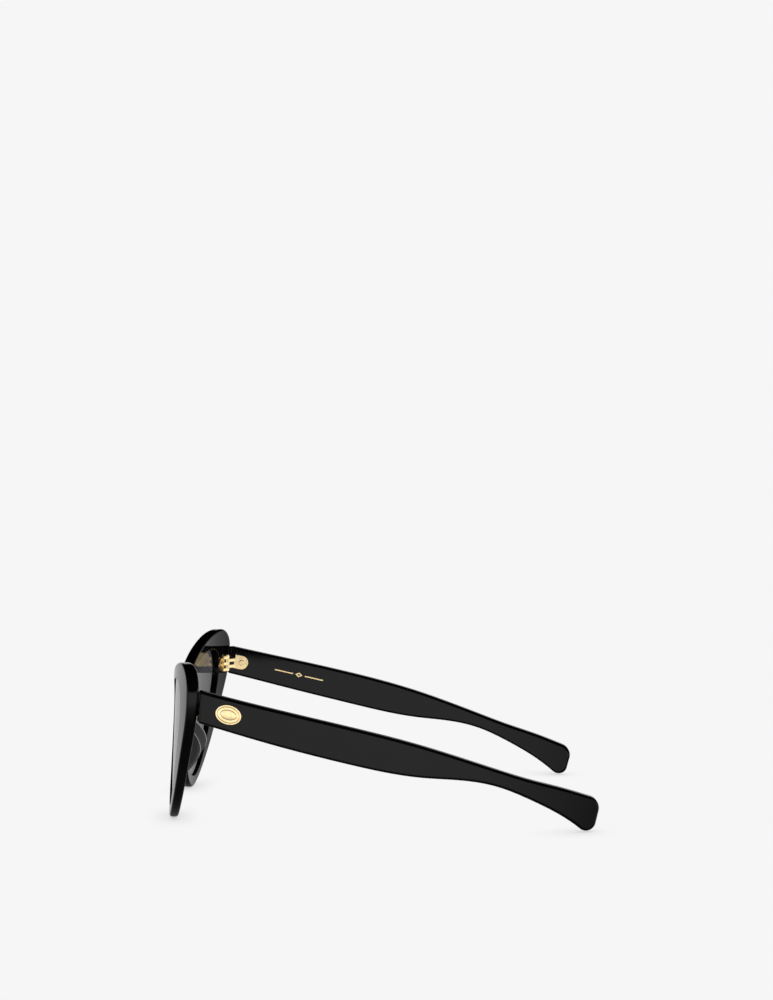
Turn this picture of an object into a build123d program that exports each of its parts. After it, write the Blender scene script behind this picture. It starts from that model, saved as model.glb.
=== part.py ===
from build123d import *
from math import asin, atan, cos, radians, sin, sqrt, tan
import os

# Cat eye sunglasses, open, standing on the rims' lower edges and the temple tips.
# Millimetres. +Z up, the front faces -Y, the temples run back along +Y, and +X is the
# wearer's left. The origin is under the middle of the bounding box.

# --- front: driving dimensions ---
lens_width = 47.6            # lens opening, nasal edge to temporal edge
lens_height = 46.8           # lens opening, lowest to highest point
bridge_width = 19.8          # between the two lens openings
bridge_height = 12.4         # depth of the bridge between the brow line and the nose
rim_width = 4.3              # rim below and beside the lens
brow_width = 7.0             # brow above the lens at its highest point
side_rim_width = 10.5        # rim beside the lens below the hinge, measured level
end_piece_width = 12.8       # from the lens opening to the outer edge, at the hinge
face_radius = 245.0          # curve of the whole front, seen from above
front_lean = 2.3             # degrees, the top of the front leans back
rim_thickness = 3.2          # front to back at the lowest point
brow_thickness = 4.4         # front to back at the top of the tips
outer_round = 1.0            # polished edge round the outside
opening_round = 0.35         # polished edge round each lens

# --- lens ---
lens_thickness = 1.8
lens_recess = 0.7            # from the front face back to the lens
groove_depth = 0.8           # how far the lens goes into the rim

# --- nose pads ---
pad_reach = 6.9              # how far a pad stands out behind the rim
pad_top = 30.0
pad_bottom = 11.6
pad_peak = 20.8              # height where the pad stands out furthest
pad_thickness = 3.3
pad_flare = 16.0             # degrees, away from the nose towards the back
pad_round = 0.9

# --- temples ---
temple_length = 137.3        # butt to tip, along Y
temple_thickness = 4.0
temple_root_top = 50.5       # upper edge at the hinge
temple_root_height = 11.1    # depth of the temple at the hinge
temple_wide_height = 12.6    # where it is deepest, a third of the way back
temple_waist_height = 5.8    # where it is slimmest, over the ear
temple_tip_height = 14.6
temple_tip_top = 10.9        # upper corner of the tip
temple_slope = 13.5          # degrees downwards along the front half
bow_radius = 255.0           # outward bow, seen from above
bow_flare = 10.3             # degrees outwards at the hinge
temple_round = 0.9
tip_upper_round = 4.2
tip_lower_round = 3.4
butt_gap = 0.3               # between the front and the temple, open

# --- temple core ---
core_width = 2.4
core_thickness = 1.0
core_start = 11.0            # behind the butt
core_tail = 14.0             # left without wire at the tip

# --- hinges ---
hinge_drop = 1.3             # middle of the barrels below the middle of the temple's root
hinge_inset = 1.3            # axis inwards from the temple's inner face
hinge_standoff = 0.5         # axis behind the back face of the front
barrel_count = 5
barrel_height = 1.1
barrel_gap = 0.1
barrel_radius = 1.3
barrel_clearance = 0.3       # between the barrels and the pocket in the front
screw_radius = 0.6
screw_clearance = 0.05       # in the temple's barrels
screw_head_radius = 1.15
screw_head_height = 0.5
screw_slot_width = 0.3
screw_slot_depth = 0.3
leaf_length = 5.6
leaf_height = 5.4
leaf_thickness = 0.9
leaf_proud = 0.3
leaf_setback = 1.0           # from the temple's butt to its leaf
leaf_arm_radius = 0.45
rivet_radius = 0.6
rivet_head_radius = 1.1
rivet_head_height = 0.25
rivet_head_round = 0.2
rivet_depth = 2.2

# --- emblem: a plain oval plaque let into the outside of each temple ---
emblem_length = 9.0
emblem_height = 6.6
emblem_thickness = 0.7
emblem_proud = 0.35
emblem_border = 0.7
emblem_dish = 0.15
emblem_setback = 10.0        # butt to the middle of the plaque
emblem_pin_radius = 0.45
emblem_pin_spacing = 4.6
emblem_pin_clearance = 0.15  # between the pins and the core

# --- places that follow from the dimensions ---
half_width = bridge_width / 2 + lens_width + end_piece_width
front_height = rim_width + lens_height + brow_width
hinge_height = temple_root_top - temple_root_height / 2 - hinge_drop
end_sagitta = face_radius - sqrt(face_radius**2 - half_width**2)
hinge_thickness = rim_thickness + (brow_thickness - rim_thickness) * hinge_height / front_height
back_taper = (brow_thickness - rim_thickness) / front_height
face_slope = tan(radians(front_lean))
back_slope = face_slope + back_taper
butt_behind_apex = end_sagitta + hinge_thickness + face_slope * hinge_height + butt_gap
apex_y = -(butt_behind_apex + temple_length) / 2
butt_y = apex_y + butt_behind_apex

bow_centre_x = half_width - bow_radius * cos(radians(bow_flare))
bow_centre_y = butt_y + bow_radius * sin(radians(bow_flare))
bow_centre = (bow_centre_x, bow_centre_y)

# --- stock: larger than the finished pieces on every side, so that the cuts run right through ---
stock_margin = 30.0
stock_height = front_height + 2 * stock_margin
stock_floor = Plane.XY.offset(-stock_margin)
stock_front = 2.0
sweep_depth = 30.0
front_sketch_plane = Plane.XZ.offset(-apex_y + stock_front)
face_centre_y = apex_y + face_radius / cos(radians(front_lean))
back_centre_y = apex_y + rim_thickness + face_radius / cos(atan(back_slope))
face_plane = Plane((0, face_centre_y, 0), x_dir=(1, 0, 0), z_dir=(0, face_slope, 1)).offset(-stock_margin)
back_plane = Plane((0, back_centre_y, 0), x_dir=(1, 0, 0), z_dir=(0, back_slope, 1)).offset(-stock_margin)


def back_of_front(x, z):
    """The Y of the back face of the front at a place across and up."""
    sagitta = face_radius - sqrt(face_radius**2 - x**2)
    return apex_y + rim_thickness + back_slope * z + sagitta


def by_lens(across, up, outwards=0, upwards=0):
    """A point in the front view, by fractions of the lens opening and a distance outside it."""
    return (bridge_width / 2 + across * lens_width + outwards, rim_width + up * lens_height + upwards)


def temple_plane(behind_butt, drop=0, inside=False):
    """A plane on the temple's outer or inner face, with x back along the temple and y square to it."""
    y = butt_y + behind_butt
    lean = asin((y - bow_centre[1]) / bow_radius)
    radius = bow_radius - temple_thickness if inside else bow_radius
    centre_x, centre_y = bow_centre
    slope = radians(temple_slope)
    z = temple_root_top - temple_root_height / 2 - behind_butt * tan(slope) - drop
    back = (-sin(lean) * cos(slope), cos(lean) * cos(slope), -sin(slope))
    outwards = (cos(lean), sin(lean), 0)
    inwards = (-cos(lean), -sin(lean), 0)
    place = (centre_x + radius * cos(lean), centre_y + radius * sin(lean), z)
    return Plane(place, x_dir=back, z_dir=inwards if inside else outwards)


# ------------------------------------------------------------------ lens openings
opening_points = [
    by_lens(0.00, 0.66), by_lens(0.03, 0.49), by_lens(0.12, 0.23), by_lens(0.26, 0.055),
    by_lens(0.44, 0.00), by_lens(0.63, 0.08), by_lens(0.80, 0.32), by_lens(0.95, 0.61),
    by_lens(1.00, 0.80), by_lens(0.96, 0.94), by_lens(0.80, 1.00), by_lens(0.49, 0.98),
    by_lens(0.22, 0.92), by_lens(0.05, 0.82),
]

# ------------------------------------------------------------------ outline of the front
bridge_top = by_lens(0, 0.9)[1]
bridge_under = bridge_top - bridge_height
brow_points = [
    by_lens(0.02, 0.9, upwards=0.23 * brow_width),
    by_lens(0.26, 1.0, upwards=0.07 * brow_width),
    by_lens(0.50, 1.0, upwards=0.51 * brow_width),
    by_lens(0.76, 1.0, upwards=0.87 * brow_width),
    by_lens(1.00, 1.0, upwards=brow_width),
]
end_piece_points = [
    by_lens(1.0, 1.0, outwards=0.57 * end_piece_width, upwards=0.83 * brow_width),
    by_lens(1.0, 1.0, outwards=0.91 * end_piece_width, upwards=0.30 * brow_width),
    by_lens(1.0, 0.93, outwards=end_piece_width),
    by_lens(1.0, 0.79, outwards=0.93 * end_piece_width),
]
rim_points = [
    by_lens(0.96, 0.64, outwards=1.02 * side_rim_width),
    by_lens(0.86, 0.46, outwards=0.98 * side_rim_width),
    by_lens(0.73, 0.23, outwards=0.85 * side_rim_width),
    by_lens(0.61, 0.07, outwards=0.67 * side_rim_width),
    by_lens(0.50, 0.00, outwards=0.43 * side_rim_width, upwards=-0.44 * rim_width),
    by_lens(0.42, 0.00, upwards=-rim_width),
    by_lens(0.26, 0.055, outwards=-0.55 * rim_width, upwards=-0.83 * rim_width),
    by_lens(0.13, 0.20, outwards=-0.85 * rim_width, upwards=-0.50 * rim_width),
    by_lens(0.04, 0.43, outwards=-0.95 * rim_width, upwards=-0.25 * rim_width),
    by_lens(0.01, 0.57, outwards=-1.15 * rim_width, upwards=-0.20 * rim_width),
]
outline_points = [(0, bridge_top)] + brow_points + end_piece_points + rim_points + [(0, bridge_under)]

# ------------------------------------------------------------------ lens
lens_outline_count = 24
opening_edge = Spline(opening_points, periodic=True)
lens_points = []
for index in range(lens_outline_count):
    along = index / lens_outline_count
    outwards = (opening_edge % along).rotate(Axis.Z, -90)
    lens_points.append(opening_edge @ along + outwards * groove_depth)

with BuildPart() as lens_left:
    with BuildSketch(front_sketch_plane):
        with BuildLine():
            Spline(lens_points, periodic=True)
        make_face()
    extrude(amount=-sweep_depth)
    with BuildSketch(face_plane):
        Circle(face_radius - lens_recess)
    extrude(amount=stock_height, mode=Mode.INTERSECT)
    with BuildSketch(face_plane):
        Circle(face_radius - lens_recess - lens_thickness)
    extrude(amount=stock_height, mode=Mode.SUBTRACT)

# ------------------------------------------------------------------ front, before the pockets
with BuildPart() as front_blank:
    with BuildSketch(front_sketch_plane):
        with BuildLine():
            Spline(outline_points, tangents=[(1, 0), (-1, 0)])
            mirror(about=Plane.YZ)
        make_face()
    extrude(amount=-sweep_depth)
    with BuildSketch(face_plane):
        Circle(face_radius)
    extrude(amount=stock_height, mode=Mode.INTERSECT)
    with BuildSketch(back_plane):
        Circle(face_radius)
    extrude(amount=stock_height, mode=Mode.SUBTRACT)
    for side in (1, -1):
        with BuildSketch(front_sketch_plane):
            with BuildLine():
                Spline([(side * x, z) for x, z in opening_points], periodic=True)
            make_face()
        extrude(amount=-sweep_depth, mode=Mode.SUBTRACT)
    large_faces = front_blank.faces().sort_by(SortBy.AREA)[-2:]
    fillet([edge for face in large_faces for edge in face.outer_wire().edges()], radius=outer_round)
    large_faces = front_blank.faces().sort_by(SortBy.AREA)[-2:]
    opening_edges = [edge for face in large_faces for wire in face.inner_wires() for edge in wire.edges()]
    fillet(opening_edges, radius=opening_round)

# ------------------------------------------------------------------ hinge places
hinge_stack = barrel_count * barrel_height + (barrel_count - 1) * barrel_gap
hinge_bottom = hinge_height - hinge_stack / 2
hinge_x = half_width - temple_thickness - hinge_inset
hinge_y = back_of_front(hinge_x, hinge_height) + hinge_standoff
arm_reach = barrel_radius + 2 * leaf_arm_radius

temple_leaf_drop = hinge_drop - (leaf_setback + leaf_length / 2) * tan(radians(temple_slope))
temple_leaf_plane = temple_plane(leaf_setback, temple_leaf_drop, inside=True)
front_leaf_x = hinge_x - arm_reach
front_leaf_turn = asin(front_leaf_x / face_radius)
front_leaf_plane = Plane(
    (front_leaf_x, back_of_front(front_leaf_x, hinge_height), hinge_height),
    x_dir=(-cos(front_leaf_turn), -sin(front_leaf_turn), 0),
    z_dir=(-sin(front_leaf_turn), cos(front_leaf_turn), -back_slope),
)


def barrel_plane(level):
    """The underside of one barrel, counted from the lowest."""
    return Plane.XY.offset(hinge_bottom + level * (barrel_height + barrel_gap))


def leaf_plate(plane):
    """A D-shaped plate let into the surface, with its straight side at the plane's origin."""
    straight = leaf_length - leaf_height / 2
    with BuildPart() as plate:
        with BuildSketch(plane.offset(leaf_proud)):
            with Locations((straight / 2, 0)):
                Rectangle(straight, leaf_height)
            with Locations((straight, 0)):
                Circle(leaf_height / 2)
        extrude(amount=-leaf_thickness)
    return plate.part


def barrels(levels, anchor, hole_radius):
    """Barrels on the hinge axis, each with an arm to a point on its leaf and a hole for the screw."""
    with BuildPart() as row:
        for level in levels:
            with BuildSketch(barrel_plane(level)):
                with Locations((hinge_x, hinge_y)):
                    Circle(barrel_radius)
                with Locations((anchor.X, anchor.Y)):
                    Circle(leaf_arm_radius)
                make_hull()
                with Locations((hinge_x, hinge_y)):
                    Circle(hole_radius, mode=Mode.SUBTRACT)
            extrude(amount=barrel_height)
    return row.part


def rivet(plane):
    """A low domed head on the leaf and a shank down into the acetate."""
    middle = (leaf_length - leaf_height / 2, 0)
    with BuildPart() as pin:
        with BuildSketch(plane.offset(leaf_proud)):
            with Locations(middle):
                Circle(rivet_head_radius)
        extrude(amount=rivet_head_height)
        fillet(pin.edges().sort_by(Axis(plane.origin, plane.z_dir))[-1], radius=rivet_head_round)
        with BuildSketch(plane.offset(leaf_proud)):
            with Locations(middle):
                Circle(rivet_radius)
        extrude(amount=-(leaf_thickness + rivet_depth))
    return pin.part


front_levels = range(0, barrel_count, 2)
temple_levels = range(1, barrel_count, 2)
front_anchor = front_leaf_plane.offset(leaf_proud - leaf_thickness / 2).origin
temple_anchor = temple_leaf_plane.offset(leaf_proud - leaf_thickness / 2).origin

# ------------------------------------------------------------------ rivets and hinge leaves
with BuildPart() as front_leaf_rivet_left:
    add(rivet(front_leaf_plane))

with BuildPart() as temple_leaf_rivet_left:
    add(rivet(temple_leaf_plane))

with BuildPart() as front_hinge_leaf_left:
    add(leaf_plate(front_leaf_plane))
    add(barrels(front_levels, front_anchor, screw_radius))
    add(front_leaf_rivet_left.part, mode=Mode.SUBTRACT)

with BuildPart() as temple_hinge_leaf_left:
    add(leaf_plate(temple_leaf_plane))
    add(barrels(temple_levels, temple_anchor, screw_radius + screw_clearance))
    add(temple_leaf_rivet_left.part, mode=Mode.SUBTRACT)

# ------------------------------------------------------------------ hinge screw
with BuildPart() as hinge_screw_left:
    with BuildSketch(barrel_plane(0)):
        with Locations((hinge_x, hinge_y)):
            Circle(screw_radius)
    extrude(amount=hinge_stack)
    with BuildSketch(barrel_plane(0).offset(hinge_stack)):
        with Locations((hinge_x, hinge_y)):
            Circle(screw_head_radius)
    extrude(amount=screw_head_height)
    with BuildSketch(barrel_plane(0).offset(hinge_stack + screw_head_height)):
        with Locations((hinge_x, hinge_y)):
            Rectangle(2 * screw_head_radius + screw_slot_width, screw_slot_width)
    extrude(amount=-screw_slot_depth, mode=Mode.SUBTRACT)

# ------------------------------------------------------------------ temple
# Each station: fraction of the length, fraction of the drop of the upper edge, depth there.
wide_to_waist = temple_wide_height - temple_waist_height
waist_to_tip = temple_tip_height - temple_waist_height
temple_stations = [
    (-0.03, -0.026, temple_root_height),
    (0.18, 0.149, (temple_root_height + 2 * temple_wide_height) / 3),
    (0.37, 0.303, temple_wide_height),
    (0.55, 0.472, temple_waist_height + 0.72 * wide_to_waist),
    (0.64, 0.576, temple_waist_height + 0.28 * wide_to_waist),
    (0.73, 0.687, temple_waist_height),
    (0.82, 0.795, temple_waist_height + 0.12 * waist_to_tip),
    (0.91, 0.890, temple_waist_height + 0.50 * waist_to_tip),
    (0.975, 0.970, temple_tip_height),
]
temple_drop = temple_root_top - temple_tip_top
temple_upper = []
temple_lower = []
for along, drop, depth in temple_stations:
    station_y = butt_y + along * temple_length
    station_z = temple_root_top - drop * temple_drop
    temple_upper.append((station_y, station_z))
    temple_lower.append((station_y, station_z - depth))
temple_middle = [(y, (z + low_z) / 2) for (y, z), (low_y, low_z) in zip(temple_upper, temple_lower)]
tip_corner = (butt_y + temple_length, temple_tip_top)


def bow_band(inner_depth, outer_depth):
    """A tall curved strip that follows the temple's bow, between two depths under its outer face."""
    with BuildPart() as band:
        with BuildSketch(stock_floor):
            with Locations(bow_centre):
                Circle(bow_radius - outer_depth)
                Circle(bow_radius - inner_depth, mode=Mode.SUBTRACT)
        extrude(amount=stock_height)
    return band.part


core_depth = (temple_thickness - core_thickness) / 2
core_length = temple_length - core_start - core_tail
tall_enough = 2 * front_height
with BuildPart() as temple_core_left:
    with BuildSketch(Plane.YZ):
        with BuildLine():
            Spline(temple_middle)
        trace(line_width=core_width)
        with Locations((butt_y + core_start + core_length / 2, front_height / 2)):
            Rectangle(core_length, tall_enough, mode=Mode.INTERSECT)
    extrude(amount=2 * half_width)
    add(bow_band(core_depth + core_thickness, core_depth), mode=Mode.INTERSECT)

with BuildPart() as emblem_left:
    emblem_plane = temple_plane(emblem_setback)
    with BuildSketch(emblem_plane.offset(emblem_proud)):
        Ellipse(emblem_length / 2, emblem_height / 2)
    extrude(amount=-emblem_thickness)
    with BuildSketch(emblem_plane.offset(emblem_proud)):
        Ellipse(emblem_length / 2 - emblem_border, emblem_height / 2 - emblem_border)
    extrude(amount=-emblem_dish, mode=Mode.SUBTRACT)
    with BuildSketch(emblem_plane.offset(emblem_proud - emblem_thickness)):
        with Locations((-emblem_pin_spacing / 2, 0), (emblem_pin_spacing / 2, 0)):
            Circle(emblem_pin_radius)
    extrude(amount=-(core_depth - emblem_pin_clearance - (emblem_thickness - emblem_proud)))

with BuildPart() as temple_left:
    with BuildSketch(Plane.YZ):
        with BuildLine():
            Spline(temple_upper + [tip_corner])
            Line(tip_corner, temple_lower[-1])
            Spline(temple_lower)
            Line(temple_lower[0], temple_upper[0])
        make_face()
        fillet(vertices().group_by(Axis.X)[-1], radius=tip_upper_round)
        fillet(vertices().group_by(Axis.Y)[0], radius=tip_lower_round)
    extrude(amount=2 * half_width)
    add(bow_band(temple_thickness, 0), mode=Mode.INTERSECT)
    with BuildSketch(back_plane):
        Circle(face_radius - butt_gap)
    extrude(amount=stock_height, mode=Mode.INTERSECT)
    fillet(temple_left.edges(), radius=temple_round)
    add(temple_hinge_leaf_left.part, mode=Mode.SUBTRACT)
    add(temple_leaf_rivet_left.part, mode=Mode.SUBTRACT)
    add(temple_core_left.part, mode=Mode.SUBTRACT)
    add(emblem_left.part, mode=Mode.SUBTRACT)

# ------------------------------------------------------------------ nose pad
pad_path = [
    by_lens(0.00, 0.60, outwards=-0.55 * rim_width),
    by_lens(0.05, 0.38, outwards=-0.55 * rim_width),
    by_lens(0.17, 0.15, outwards=-0.70 * rim_width),
]
pad_middle_x, pad_middle_z = pad_path[1]
pad_base_y = back_of_front(pad_middle_x, pad_middle_z)
pad_front_y = pad_base_y - rim_thickness
pad_shape = [
    (0.00, pad_top),
    (0.62, pad_peak + 0.62 * (pad_top - pad_peak)),
    (1.00, pad_peak),
    (0.78, pad_peak - 0.46 * (pad_peak - pad_bottom)),
    (0.00, pad_bottom),
]
pad_side = [(back_of_front(pad_middle_x, z) + share * pad_reach, z) for share, z in pad_shape]
with BuildPart() as nose_pad_left:
    with BuildSketch(Plane.XZ.offset(-(pad_base_y - outer_round))):
        with BuildLine():
            Spline(pad_path)
        trace(line_width=pad_thickness)
    extrude(amount=2 * pad_reach, dir=(sin(radians(pad_flare)), cos(radians(pad_flare)), 0))
    with BuildSketch(Plane.YZ):
        with BuildLine():
            Spline(pad_side)
            Polyline(pad_side[-1], (pad_front_y, pad_bottom), (pad_front_y, pad_top), pad_side[0])
        make_face()
    extrude(amount=half_width, mode=Mode.INTERSECT)
    crest = nose_pad_left.edges().filter_by(lambda edge: edge.center().Y > pad_base_y + pad_reach / 3)
    fillet(crest, radius=pad_round)
    add(front_blank.part, mode=Mode.SUBTRACT)

# ------------------------------------------------------------------ front with its pockets
with BuildPart() as front_frame:
    add(front_blank.part)
    with BuildSketch(barrel_plane(0).offset(-barrel_clearance)):
        with Locations((hinge_x, hinge_y), (-hinge_x, hinge_y)):
            Circle(barrel_radius + barrel_clearance)
    extrude(amount=hinge_stack + screw_head_height + 2 * barrel_clearance, mode=Mode.SUBTRACT)
    for piece in (lens_left, front_hinge_leaf_left, front_leaf_rivet_left):
        add(piece.part, mode=Mode.SUBTRACT)
        mirror(piece.part, about=Plane.YZ, mode=Mode.SUBTRACT)

# ------------------------------------------------------------------ left and right pieces
os.makedirs("parts", exist_ok=True)
front_frame.part.label = "front_frame"
export_step(front_frame.part, "parts/front_frame.step")

left_pieces = {
    "lens": lens_left,
    "nose_pad": nose_pad_left,
    "front_hinge_leaf": front_hinge_leaf_left,
    "front_leaf_rivet": front_leaf_rivet_left,
    "hinge_screw": hinge_screw_left,
    "temple_hinge_leaf": temple_hinge_leaf_left,
    "temple_leaf_rivet": temple_leaf_rivet_left,
    "temple": temple_left,
    "temple_core": temple_core_left,
    "emblem": emblem_left,
}
for name, left in left_pieces.items():
    with BuildPart() as right:
        mirror(left.part, about=Plane.YZ)
    left.part.label = name + "_left"
    export_step(left.part, "parts/" + name + "_left.step")
    right.part.label = name + "_right"
    export_step(right.part, "parts/" + name + "_right.step")
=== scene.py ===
import math

import bpy
from mathutils import Matrix, Vector


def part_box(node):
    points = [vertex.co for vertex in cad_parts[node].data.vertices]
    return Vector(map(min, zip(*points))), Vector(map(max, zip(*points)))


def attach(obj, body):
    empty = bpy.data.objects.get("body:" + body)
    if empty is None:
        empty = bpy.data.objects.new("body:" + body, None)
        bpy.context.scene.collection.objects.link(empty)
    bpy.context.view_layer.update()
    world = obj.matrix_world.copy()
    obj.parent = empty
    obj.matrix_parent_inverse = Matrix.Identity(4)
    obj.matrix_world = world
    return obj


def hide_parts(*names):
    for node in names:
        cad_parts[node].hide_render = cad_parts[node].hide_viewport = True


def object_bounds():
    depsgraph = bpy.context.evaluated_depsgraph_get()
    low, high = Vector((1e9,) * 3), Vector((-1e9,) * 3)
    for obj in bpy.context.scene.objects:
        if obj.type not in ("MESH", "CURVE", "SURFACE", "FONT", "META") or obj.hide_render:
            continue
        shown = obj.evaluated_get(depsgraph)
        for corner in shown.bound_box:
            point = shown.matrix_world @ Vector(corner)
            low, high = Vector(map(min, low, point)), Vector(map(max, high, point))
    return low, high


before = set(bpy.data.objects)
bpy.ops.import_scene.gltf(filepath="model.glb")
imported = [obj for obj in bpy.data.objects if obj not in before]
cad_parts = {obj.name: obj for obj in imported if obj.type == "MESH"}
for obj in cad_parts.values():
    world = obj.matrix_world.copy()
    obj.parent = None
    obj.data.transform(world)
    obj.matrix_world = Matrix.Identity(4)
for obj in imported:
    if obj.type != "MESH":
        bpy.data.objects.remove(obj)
cad_low, cad_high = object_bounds()

# ------------------------------------------------------------------ front
# The front is milled from one slab of black cellulose acetate, pressed over a former to
# curve it round the face, and tumbled in wood chips until it shines. The polish is not
# quite even: a faint ripple and a trace of finer rubbing stay in the gloss.


def new_material(name):
    material = bpy.data.materials.new(name)
    material.use_nodes = True
    return material, material.node_tree.nodes, material.node_tree.links


cloud_scale = 45.0
rub_scale = 600.0
ripple_depth = 0.00003
acetate_ior = 1.48
acetate_specular = 0.2


def polished_acetate(name, gloss_best, gloss_worst, pigment_dark, pigment_light):
    material, boxes, wires = new_material(name)
    shader = boxes["Principled BSDF"]
    place = boxes.new("ShaderNodeTexCoord")

    slab = boxes.new("ShaderNodeTexNoise")
    slab.inputs["Scale"].default_value = cloud_scale
    slab.inputs["Detail"].default_value = 3.0
    wires.new(place.outputs["Object"], slab.inputs["Vector"])
    pigment = boxes.new("ShaderNodeValToRGB")
    pigment.color_ramp.elements[0].position = 0.3
    pigment.color_ramp.elements[0].color = (*pigment_dark, 1)
    pigment.color_ramp.elements[1].position = 0.7
    pigment.color_ramp.elements[1].color = (*pigment_light, 1)
    wires.new(slab.outputs["Fac"], pigment.inputs["Fac"])
    wires.new(pigment.outputs["Color"], shader.inputs["Base Color"])

    rubbing = boxes.new("ShaderNodeTexNoise")
    rubbing.inputs["Scale"].default_value = rub_scale
    rubbing.inputs["Detail"].default_value = 6.0
    wires.new(place.outputs["Object"], rubbing.inputs["Vector"])
    gloss = boxes.new("ShaderNodeMapRange")
    gloss.inputs["To Min"].default_value = gloss_best
    gloss.inputs["To Max"].default_value = gloss_worst
    wires.new(rubbing.outputs["Fac"], gloss.inputs["Value"])
    wires.new(gloss.outputs["Result"], shader.inputs["Roughness"])

    ripple = boxes.new("ShaderNodeBump")
    ripple.inputs["Strength"].default_value = 0.2
    ripple.inputs["Distance"].default_value = ripple_depth
    wires.new(slab.outputs["Fac"], ripple.inputs["Height"])
    wires.new(ripple.outputs["Normal"], shader.inputs["Normal"])

    shader.inputs["IOR"].default_value = acetate_ior
    shader.inputs["Specular IOR Level"].default_value = acetate_specular
    return material


def give_finish(node, material):
    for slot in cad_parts[node].material_slots:
        slot.material = material


sides = ("left", "right")
black_deep = (0.0020, 0.0020, 0.0023)
black_warm = (0.0048, 0.0044, 0.0043)
front_acetate = polished_acetate("front_acetate", 0.05, 0.09, black_deep, black_warm)
give_finish("front_frame", front_acetate)

# ------------------------------------------------------------------ lenses
# Each lens is cut from a curved grey nylon sheet, tinted all through and hard-coated, and
# snapped into the groove round its opening while the front is warm.
lens_tint = (0.085, 0.085, 0.090, 1)
lens_ior = 1.5
wipe_mark_scale = 180.0
dullest_wipe = 0.02
grey_lens, boxes, wires = new_material("grey_lens")
shader = boxes["Principled BSDF"]
shader.inputs["Base Color"].default_value = lens_tint
shader.inputs["Transmission Weight"].default_value = 1.0
shader.inputs["IOR"].default_value = lens_ior
place = boxes.new("ShaderNodeTexCoord")
wipe_marks = boxes.new("ShaderNodeTexNoise")
wipe_marks.inputs["Scale"].default_value = wipe_mark_scale
wires.new(place.outputs["Object"], wipe_marks.inputs["Vector"])
coating = boxes.new("ShaderNodeMapRange")
coating.inputs["To Max"].default_value = dullest_wipe
wires.new(wipe_marks.outputs["Fac"], coating.inputs["Value"])
wires.new(coating.outputs["Result"], shader.inputs["Roughness"])
for side in sides:
    give_finish("lens_" + side, grey_lens)

# ------------------------------------------------------------------ nose pads
# The pads are small blanks of black acetate glued behind the rims beside the bridge.
# They are filed to shape by hand and polished, a touch less bright than the front. Their grey
# is painted reflection: the pigment is raised to the sheen the pads pick up from the bright
# surroundings.
# Painted reflection: these greys stand in for light the black pads reflect, not their own colour.
pad_painted_sheen_deep = (0.12, 0.12, 0.124)
pad_painted_sheen_light = (0.17, 0.169, 0.172)
pad_acetate_painted_sheen = polished_acetate("pad_acetate_painted_sheen", 0.09, 0.15, pad_painted_sheen_deep, pad_painted_sheen_light)
for side in sides:
    give_finish("nose_pad_" + side, pad_acetate_painted_sheen)

# ------------------------------------------------------------------ hinges
# Five-barrel hinges of nickel silver, gold plated. The leaves are riveted into the acetate,
# and a slotted screw dropped through the barrels from above is the pin.
plating_scale = 900.0
plating_depth = 0.00002
deep_gold = (0.82, 0.55, 0.20, 1)
pale_gold = (0.98, 0.82, 0.50, 1)


def gold_plate(name, roughest, smoothest):
    material, boxes, wires = new_material(name)
    shader = boxes["Principled BSDF"]
    place = boxes.new("ShaderNodeTexCoord")
    plating = boxes.new("ShaderNodeTexNoise")
    plating.inputs["Scale"].default_value = plating_scale
    plating.inputs["Detail"].default_value = 4.0
    wires.new(place.outputs["Object"], plating.inputs["Vector"])
    warmth = boxes.new("ShaderNodeValToRGB")
    warmth.color_ramp.elements[0].position = 0.25
    warmth.color_ramp.elements[0].color = deep_gold
    warmth.color_ramp.elements[1].position = 0.65
    warmth.color_ramp.elements[1].color = pale_gold
    wires.new(plating.outputs["Fac"], warmth.inputs["Fac"])
    wires.new(warmth.outputs["Color"], shader.inputs["Base Color"])
    satin = boxes.new("ShaderNodeMapRange")
    satin.inputs["To Min"].default_value = smoothest
    satin.inputs["To Max"].default_value = roughest
    wires.new(plating.outputs["Fac"], satin.inputs["Value"])
    wires.new(satin.outputs["Result"], shader.inputs["Roughness"])
    grain = boxes.new("ShaderNodeBump")
    grain.inputs["Strength"].default_value = 0.25
    grain.inputs["Distance"].default_value = plating_depth
    wires.new(plating.outputs["Fac"], grain.inputs["Height"])
    wires.new(grain.outputs["Normal"], shader.inputs["Normal"])
    shader.inputs["Metallic"].default_value = 1.0
    return material


hinge_gold = gold_plate("hinge_gold", 0.30, 0.14)
screw_gold = gold_plate("screw_gold", 0.22, 0.10)
for side in sides:
    for leaf in ("front_hinge_leaf_", "temple_hinge_leaf_"):
        give_finish(leaf + side, hinge_gold)
    for fastener in ("hinge_screw_", "front_leaf_rivet_", "temple_leaf_rivet_"):
        give_finish(fastener + side, screw_gold)

# ------------------------------------------------------------------ temples and their cores
# The temples are milled from the same black sheet and shot with a steel core wire, which is
# what lets them be bent over the ear. The black hides the wire altogether.
temple_acetate = polished_acetate("temple_acetate", 0.05, 0.10, black_deep, black_warm)
steel_grey = (0.56, 0.56, 0.54, 1)
draw_line_scale = 1500.0
core_steel, boxes, wires = new_material("core_steel")
shader = boxes["Principled BSDF"]
shader.inputs["Base Color"].default_value = steel_grey
shader.inputs["Metallic"].default_value = 1.0
place = boxes.new("ShaderNodeTexCoord")
drawn_lines = boxes.new("ShaderNodeTexNoise")
drawn_lines.inputs["Scale"].default_value = draw_line_scale
wires.new(place.outputs["Object"], drawn_lines.inputs["Vector"])
drawn = boxes.new("ShaderNodeMapRange")
drawn.inputs["To Min"].default_value = 0.25
drawn.inputs["To Max"].default_value = 0.45
wires.new(drawn_lines.outputs["Fac"], drawn.inputs["Value"])
wires.new(drawn.outputs["Result"], shader.inputs["Roughness"])
for side in sides:
    give_finish("temple_" + side, temple_acetate)
    give_finish("temple_core_" + side, core_steel)

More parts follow.
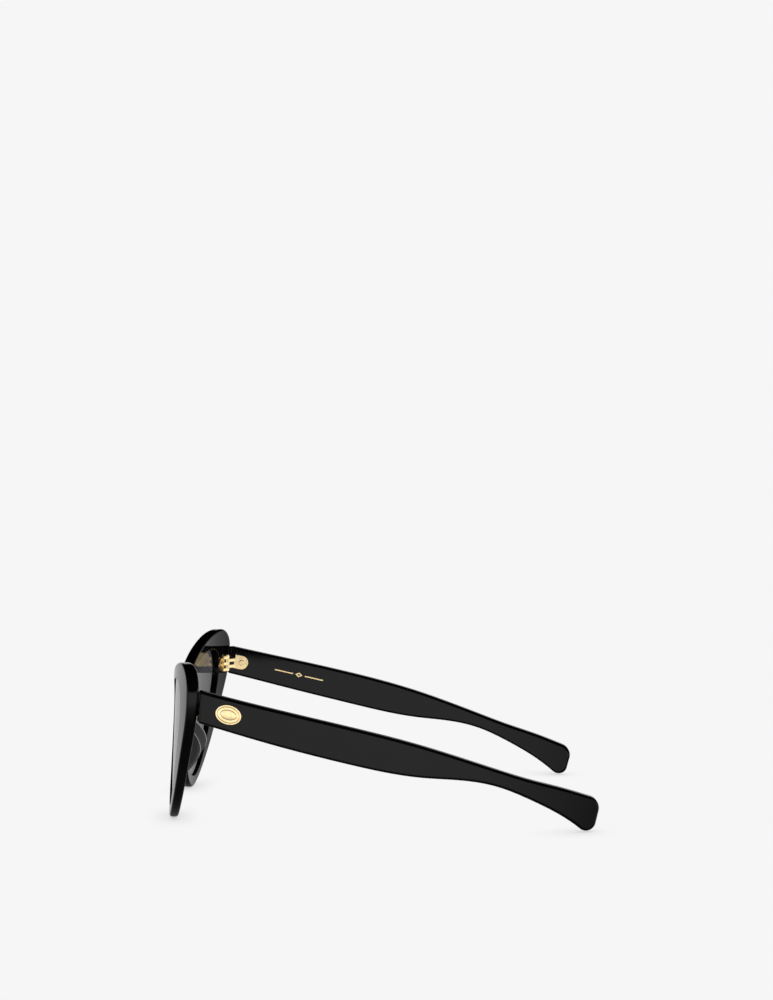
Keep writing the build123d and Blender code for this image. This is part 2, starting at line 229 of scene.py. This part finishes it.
# ------------------------------------------------------------------ emblems
# A plain oval plaque on the outside of each temple, struck from brass and gold plated: a
# polished raised border, a sunk field and a small oval boss. Two pins behind it hold it.
plaque_length = 0.0090
plaque_height = 0.0066
plaque_thickness = 0.0007
border_width = 0.0006
field_sink = 0.00022
boss_margin = 0.0010
boss_rise = 0.00020
struck_edge = 0.00007
plaque_sides = 72
sharp_corner = math.radians(30)
smooth_corner = math.radians(35)
temple_slope = math.radians(13.5)
plaque_turn = math.radians(-8.03)

plaque_gold = gold_plate("plaque_gold", 0.26, 0.12)
back_along = Vector((
    -math.sin(plaque_turn) * math.cos(temple_slope),
    math.cos(plaque_turn) * math.cos(temple_slope),
    -math.sin(temple_slope),
))
outwards = Vector((math.cos(plaque_turn), math.sin(plaque_turn), 0))
upwards = outwards.cross(back_along)
plaque_facing = Matrix((back_along, upwards, outwards)).transposed()
emblem_low, emblem_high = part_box("emblem_left")
half_depth = plaque_thickness / 2
plaque_reach = plaque_length / 2 * abs(back_along.x)
plaque_place = Vector((
    emblem_high.x - half_depth - plaque_reach,
    (emblem_low.y + emblem_high.y) / 2,
    (emblem_low.z + emblem_high.z) / 2,
))


def select_faces(piece, wanted):
    bpy.ops.object.mode_set(mode="EDIT")
    bpy.ops.mesh.select_all(action="DESELECT")
    bpy.ops.mesh.select_mode(type="FACE")
    bpy.ops.object.mode_set(mode="OBJECT")
    for face in piece.data.polygons:
        face.select = wanted(face)
    bpy.ops.object.mode_set(mode="EDIT")


def apply_modifier(kind, **settings):
    bpy.ops.object.modifier_add(type=kind)
    modifier = bpy.context.object.modifiers[-1]
    for setting, value in settings.items():
        setattr(modifier, setting, value)
    bpy.ops.object.modifier_apply(modifier=modifier.name)


def mirrored_copy(piece, name):
    bpy.ops.object.select_all(action="DESELECT")
    piece.select_set(True)
    bpy.context.view_layer.objects.active = piece
    bpy.ops.object.duplicate()
    copy = bpy.context.object
    copy.name = name
    copy.scale.x = -1
    bpy.ops.object.transform_apply(location=False, rotation=False, scale=True)
    bpy.ops.object.mode_set(mode="EDIT")
    bpy.ops.mesh.select_all(action="SELECT")
    bpy.ops.mesh.normals_make_consistent(inside=False)
    bpy.ops.object.mode_set(mode="OBJECT")
    return copy


bpy.ops.object.select_all(action="DESELECT")
bpy.ops.mesh.primitive_cylinder_add(vertices=plaque_sides, radius=0.5, depth=1)
plaque_left = bpy.context.object
plaque_left.name = "plaque_left"
plaque_left.scale = (plaque_length, plaque_height, plaque_thickness)
bpy.ops.object.transform_apply(location=False, rotation=False, scale=True)
select_faces(plaque_left, lambda face: face.normal.z > 0.9)
bpy.ops.mesh.inset(thickness=border_width, depth=0)
bpy.ops.mesh.inset(thickness=struck_edge, depth=-field_sink)
bpy.ops.mesh.inset(thickness=boss_margin, depth=0)
bpy.ops.mesh.inset(thickness=struck_edge, depth=boss_rise)
bpy.ops.object.mode_set(mode="OBJECT")
apply_modifier("BEVEL", width=struck_edge, segments=3, limit_method="ANGLE", angle_limit=sharp_corner)
plaque_left.rotation_euler = plaque_facing.to_euler()
plaque_left.location = plaque_place
bpy.ops.object.transform_apply(location=True, rotation=True, scale=True)
bpy.ops.object.shade_smooth_by_angle(angle=smooth_corner)
plaque_left.data.materials.append(plaque_gold)
plaque_right = mirrored_copy(plaque_left, "plaque_right")
for side, plaque in (("left", plaque_left), ("right", plaque_right)):
    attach(plaque, "temple_" + side)
    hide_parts("emblem_" + side)
    give_finish("emblem_" + side, plaque_gold)

# ------------------------------------------------------------------ foil stamping
# A line ornament is hot-stamped in gold foil on the inside of each temple behind the hinge:
# two slim rules with a small lozenge between them. It is only as thick as the foil.
foil_length = 0.0200
foil_rule_height = 0.00042
foil_rule_length = 0.0076
lozenge_length = 0.0030
lozenge_height = 0.0019
foil_start = 0.0187
foil_thickness = 0.00004
foil_lift = 0.00004
foil_segments = 24
stamp_standoff = 0.02

temple_low, temple_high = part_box("temple_left")
stamp_middle_y = temple_low.y + foil_start + foil_length / 2
emblem_middle = (emblem_low + emblem_high) / 2
stamp_middle_z = emblem_middle.z - (stamp_middle_y - emblem_middle.y) * math.tan(temple_slope)
stamp_gold = gold_plate("foil_gold", 0.34, 0.20)
foil_parts = []
for end in (-1, 1):
    bpy.ops.object.select_all(action="DESELECT")
    bpy.ops.mesh.primitive_grid_add(x_subdivisions=foil_segments, y_subdivisions=1, size=1)
    rule = bpy.context.object
    rule.scale = (foil_rule_length, foil_rule_height, 1)
    rule.location.x = end * (foil_length - foil_rule_length) / 2
    bpy.ops.object.transform_apply(location=True, rotation=False, scale=True)
    foil_parts.append(rule)
bpy.ops.object.select_all(action="DESELECT")
bpy.ops.mesh.primitive_circle_add(vertices=4, radius=0.5, fill_type="NGON")
lozenge = bpy.context.object
lozenge.scale = (lozenge_length, lozenge_height, 1)
bpy.ops.object.transform_apply(location=False, rotation=False, scale=True)
bpy.ops.object.mode_set(mode="EDIT")
bpy.ops.mesh.select_all(action="SELECT")
bpy.ops.mesh.inset(thickness=foil_rule_height, depth=0)
bpy.ops.mesh.delete(type="FACE")
bpy.ops.object.mode_set(mode="OBJECT")
for rule in foil_parts:
    rule.select_set(True)
lozenge.select_set(True)
bpy.context.view_layer.objects.active = lozenge
bpy.ops.object.join()
foil_left = bpy.context.object
foil_left.name = "foil_ornament_left"
facing_inwards = Matrix(((0, 0, -1), (1, 0, 0), (0, -1, 0)))
foil_left.rotation_euler = facing_inwards.to_euler()
bpy.ops.object.transform_apply(location=False, rotation=True, scale=False)
foil_left.rotation_euler = (-temple_slope, 0, 0)
inside_x = (temple_low.x + temple_high.x) / 2 - stamp_standoff
foil_left.location = (inside_x, stamp_middle_y, stamp_middle_z)
bpy.ops.object.transform_apply(location=True, rotation=True, scale=False)
apply_modifier(
    "SHRINKWRAP", target=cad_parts["temple_left"], wrap_method="PROJECT", use_project_x=True,
    use_positive_direction=True, use_negative_direction=False, project_limit=2 * stamp_standoff,
    wrap_mode="OUTSIDE_SURFACE", offset=foil_lift,
)
apply_modifier("SOLIDIFY", thickness=foil_thickness, offset=1)
foil_left.data.materials.append(stamp_gold)
foil_right = mirrored_copy(foil_left, "foil_ornament_right")
for side, foil in (("left", foil_left), ("right", foil_right)):
    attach(foil, "temple_" + side)

# ------------------------------------------------------------------ floor
# A seamless pale table under the sunglasses. It glows evenly rather than being lit, with only
# a faint painted shade where the rims and the tips come close to it.
pale = 0.921
darkest_painted_shade = 0.55
unshaded_from = 0.9
painted_shade_reach = 0.012
table_size = 6
table_gap = 0.00005
bpy.ops.object.select_all(action="DESELECT")
bpy.ops.mesh.primitive_plane_add(size=table_size, location=(0, 0, cad_low.z - table_gap))
floor = bpy.context.object
floor.name = "floor"
pale_table_painted_shade, boxes, wires = new_material("pale_table_painted_shade")
boxes.remove(boxes["Principled BSDF"])
# Painted contact shade: ambient occlusion near the object dims the floor's glow.
painted_shade_nearness = boxes.new("ShaderNodeAmbientOcclusion")
painted_shade_nearness.samples = 12
painted_shade_nearness.inputs["Distance"].default_value = painted_shade_reach
shade = boxes.new("ShaderNodeMapRange")
shade.inputs["From Max"].default_value = unshaded_from
shade.inputs["To Min"].default_value = darkest_painted_shade
shade.inputs["To Max"].default_value = pale
wires.new(painted_shade_nearness.outputs["AO"], shade.inputs["Value"])
glow = boxes.new("ShaderNodeEmission")
wires.new(shade.outputs["Result"], glow.inputs["Strength"])
wires.new(glow.outputs["Emission"], boxes["Material Output"].inputs["Surface"])
floor.data.materials.append(pale_table_painted_shade)
floor.visible_glossy = False
floor.visible_diffuse = False
floor.visible_shadow = False

# ------------------------------------------------------------------ studio light
# A light tent: a soft pale band stands all round at the height of the object. It is brighter
# on the side of the main light, in front and behind, and where the backdrop closes the far
# side. Under the band the tent is dim and over it black, so the rounded edges stay black.
band_light = 0.30
main_light = 1.45
end_light = 1.0
backdrop_light = 0.62
backdrop_shade = 0.30
under_band = 0.3
dim_below = 0.25
band_from = 0.42
band_to = 0.53
black_above = 0.60
main_starts = 0.55
main_full = 0.97
end_starts = 0.72
end_full = 0.99
backdrop_bright_to = 0.20
backdrop_dim_from = 0.60
far_side_full = -0.70
far_side_ends = -0.20
studio = bpy.data.worlds.new("studio")
studio.use_nodes = True
bpy.context.scene.world = studio
boxes, wires = studio.node_tree.nodes, studio.node_tree.links
tent = boxes["Background"]
tent.inputs["Color"].default_value = (1, 1, 1, 1)
way = boxes.new("ShaderNodeTexCoord")
split = boxes.new("ShaderNodeSeparateXYZ")
wires.new(way.outputs["Generated"], split.inputs["Vector"])
band = boxes.new("ShaderNodeValToRGB")
band.color_ramp.interpolation = "EASE"
band_stops = band.color_ramp.elements
band_stops[0].position = dim_below
band_stops[0].color = (under_band, under_band, under_band, 1)
band_stops[1].position = band_from
band_stops[1].color = (1, 1, 1, 1)
band_top = band_stops.new(band_to)
band_top.color = (1, 1, 1, 1)
over_band = band_stops.new(black_above)
over_band.color = (0, 0, 0, 1)
level = boxes.new("ShaderNodeMapRange")
level.inputs["From Min"].default_value = -1.0
wires.new(split.outputs["Z"], level.inputs["Value"])
wires.new(level.outputs["Result"], band.inputs["Fac"])
main_side = boxes.new("ShaderNodeMapRange")
main_side.interpolation_type = "SMOOTHSTEP"
main_side.inputs["From Min"].default_value = main_starts
main_side.inputs["From Max"].default_value = main_full
main_side.inputs["To Min"].default_value = band_light
main_side.inputs["To Max"].default_value = main_light
wires.new(split.outputs["X"], main_side.inputs["Value"])
either_end = boxes.new("ShaderNodeMath")
either_end.operation = "ABSOLUTE"
wires.new(split.outputs["Y"], either_end.inputs[0])
end_lights = boxes.new("ShaderNodeMapRange")
end_lights.interpolation_type = "SMOOTHSTEP"
end_lights.inputs["From Min"].default_value = end_starts
end_lights.inputs["From Max"].default_value = end_full
end_lights.inputs["To Max"].default_value = end_light
wires.new(either_end.outputs["Value"], end_lights.inputs["Value"])
all_lights = boxes.new("ShaderNodeMath")
wires.new(main_side.outputs["Result"], all_lights.inputs[0])
wires.new(end_lights.outputs["Result"], all_lights.inputs[1])
backdrop = boxes.new("ShaderNodeMapRange")
backdrop.interpolation_type = "SMOOTHSTEP"
backdrop.inputs["From Min"].default_value = backdrop_bright_to
backdrop.inputs["From Max"].default_value = backdrop_dim_from
backdrop.inputs["To Min"].default_value = backdrop_light
backdrop.inputs["To Max"].default_value = backdrop_shade
wires.new(split.outputs["Y"], backdrop.inputs["Value"])
far_side = boxes.new("ShaderNodeMapRange")
far_side.interpolation_type = "SMOOTHSTEP"
far_side.inputs["From Min"].default_value = far_side_full
far_side.inputs["From Max"].default_value = far_side_ends
far_side.inputs["To Min"].default_value = 1.0
far_side.inputs["To Max"].default_value = 0.0
wires.new(split.outputs["X"], far_side.inputs["Value"])
round_about = boxes.new("ShaderNodeMix")
wires.new(far_side.outputs["Result"], round_about.inputs["Factor"])
wires.new(all_lights.outputs["Value"], round_about.inputs["A"])
wires.new(backdrop.outputs["Result"], round_about.inputs["B"])
tent_light = boxes.new("ShaderNodeMath")
tent_light.operation = "MULTIPLY"
wires.new(band.outputs["Color"], tent_light.inputs[0])
wires.new(round_about.outputs["Result"], tent_light.inputs[1])
ray = boxes.new("ShaderNodeLightPath")
straight_through = boxes.new("ShaderNodeMath")
straight_through.operation = "MAXIMUM"
wires.new(ray.outputs["Is Camera Ray"], straight_through.inputs[0])
wires.new(ray.outputs["Is Transmission Ray"], straight_through.inputs[1])
shown = boxes.new("ShaderNodeMix")
shown.inputs["B"].default_value = pale
wires.new(straight_through.outputs["Value"], shown.inputs["Factor"])
wires.new(tent_light.outputs["Value"], shown.inputs["A"])
wires.new(shown.outputs["Result"], tent.inputs["Strength"])

# ------------------------------------------------------------------ camera
# A long lens stands on the wearer's left, a hand's breadth above the brow, and looks
# straight across both temples and a little down.
camera_distance = 0.6839
camera_height = 0.1421
camera_ahead = 0.0028
camera_dip = math.radians(2.26)
lens_length = 73.7
sensor_width = 36
camera = bpy.data.objects.new("camera", bpy.data.cameras.new("camera"))
bpy.context.scene.collection.objects.link(camera)
camera.data.lens = lens_length
camera.data.sensor_width = sensor_width
camera.location = (
    cad_high.x + camera_distance,
    (cad_low.y + cad_high.y) / 2 + camera_ahead,
    cad_low.z + camera_height,
)
camera.rotation_euler = (math.pi / 2 - camera_dip, 0, math.pi / 2)
bpy.context.scene.camera = camera
bpy.context.scene.view_settings.view_transform = "Standard"
